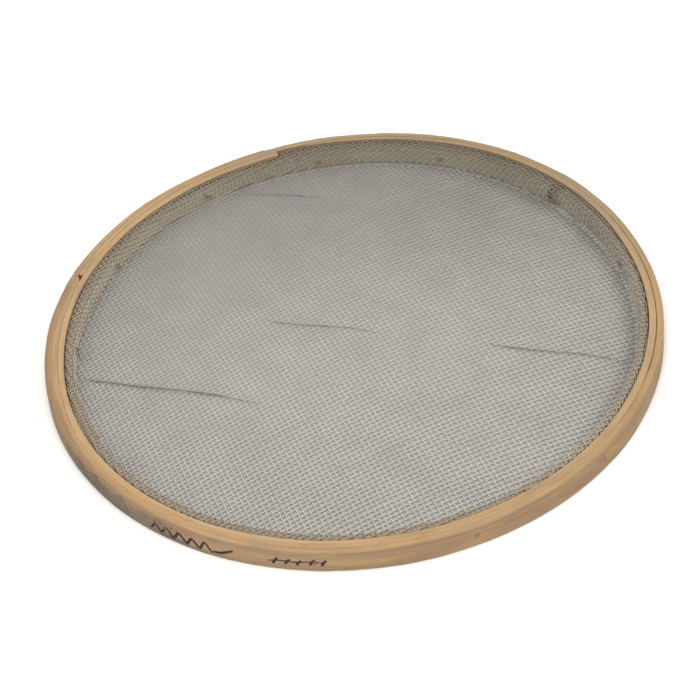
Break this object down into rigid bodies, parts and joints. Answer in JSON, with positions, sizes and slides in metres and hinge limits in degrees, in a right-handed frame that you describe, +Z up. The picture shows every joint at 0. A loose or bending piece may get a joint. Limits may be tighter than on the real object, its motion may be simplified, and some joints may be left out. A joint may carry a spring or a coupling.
{
  "type": "soil sieve",
  "caption": "Round, very shallow hand sieve: bentwood hoops nailed around a woven wire tray, for sifting soil, compost or seed.",
  "frame": {"origin": "centre of the hoop on the plane it rests on", "axes": "+Z up out of the open side, along the hoop's axis; -Y towards the side with the hand marks; +X to the right of that side"},
  "size_m": [0.5478, 0.5474, 0.02],
  "materials": {
    "outer_wood": "bare, weathered, long straight grain round the hoop",
    "middle_wood": "bare, pale, lightly worn",
    "clamp_wood": "bare, darkened, hidden behind the wire cloth",
    "wire": "galvanised woven wire, dull, slightly brown with soil on the wall",
    "nail": "dark, lightly rusted"
  },
  "bodies": {
    "root": {"outer_hoop": "outer_wood", "middle_hoop": "middle_wood", "clamp_hoop": "clamp_wood", "wire_mesh": "wire", "nail_01": "nail", "nail_02": "nail", "nail_03": "nail", "nail_04": "nail", "nail_05": "nail", "nail_06": "nail", "nail_07": "nail", "nail_08": "nail", "nail_09": "nail", "nail_10": "nail", "nail_11": "nail", "nail_12": "nail", "nail_13": "nail"}
  },
  "joints": []
}
